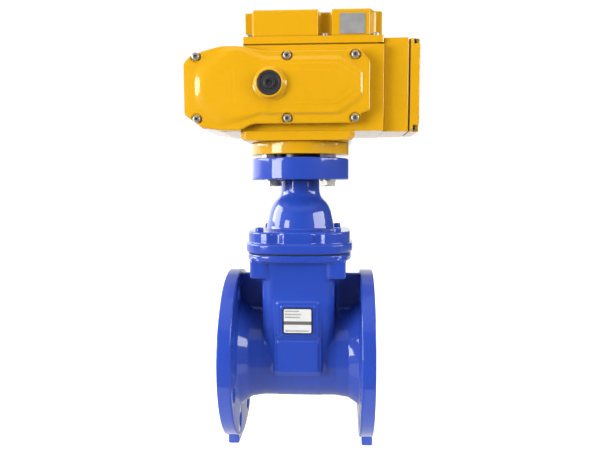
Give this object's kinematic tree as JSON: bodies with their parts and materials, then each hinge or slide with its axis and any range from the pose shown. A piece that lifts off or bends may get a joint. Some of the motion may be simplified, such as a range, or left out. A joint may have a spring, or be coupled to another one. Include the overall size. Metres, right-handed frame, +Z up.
{
  "type": "motorized gate valve",
  "caption": "Flanged gate valve with a clear port, a raised wedge gate, a bell-shaped bonnet and a boxed electric actuator on a round mounting flange.",
  "frame": {"origin": "where the stem axis meets the pipe axis, in the middle of the port", "axes": "+X along the pipe, +Z up the stem, -Y towards the data plate and the actuator's front cover"},
  "size_m": [0.2785, 0.22, 0.5465],
  "materials": {
    "blue_epoxy": "glossy fusion-bonded epoxy on cast iron",
    "yellow_enamel": "semi-gloss enamel on cast aluminium",
    "gate_rubber": "smooth moulded rubber",
    "stem_steel": "turned",
    "gasket_rubber": "matte",
    "seal_brown": "matte",
    "zinc_steel": "zinc plated",
    "dark_steel": "oiled black",
    "plug_plastic": "moulded, satin",
    "grey_plate": "satin grey, bare",
    "white_plate": "printed film"
  },
  "bodies": {
    "root": {"valve_body": "blue_epoxy", "bonnet": "blue_epoxy", "mounting_flange": "blue_epoxy", "base_flange": "yellow_enamel", "base_block": "yellow_enamel", "gearbox_housing": "yellow_enamel", "front_cover": "yellow_enamel", "hand_drive_boss": "yellow_enamel", "rear_cover": "yellow_enamel", "top_box_base": "yellow_enamel", "top_box_lid": "yellow_enamel", "terminal_box": "yellow_enamel", "terminal_cover": "yellow_enamel", "gate_wedge": "gate_rubber", "stem": "stem_steel", "bonnet_gasket": "gasket_rubber", "terminal_seal": "gasket_rubber", "top_box_seal": "seal_brown", "bonnet_screws": "blue_epoxy", "mounting_bolts": "zinc_steel", "bolt_washers": "zinc_steel", "spacer_nuts": "zinc_steel", "front_cover_screws": "zinc_steel", "rear_cover_screws": "zinc_steel", "top_box_screws": "zinc_steel", "centring_spigot": "dark_steel", "terminal_cover_screws": "dark_steel", "hand_drive_plug": "plug_plastic", "top_box_plate": "grey_plate", "data_plate": "white_plate"}
  },
  "joints": []
}
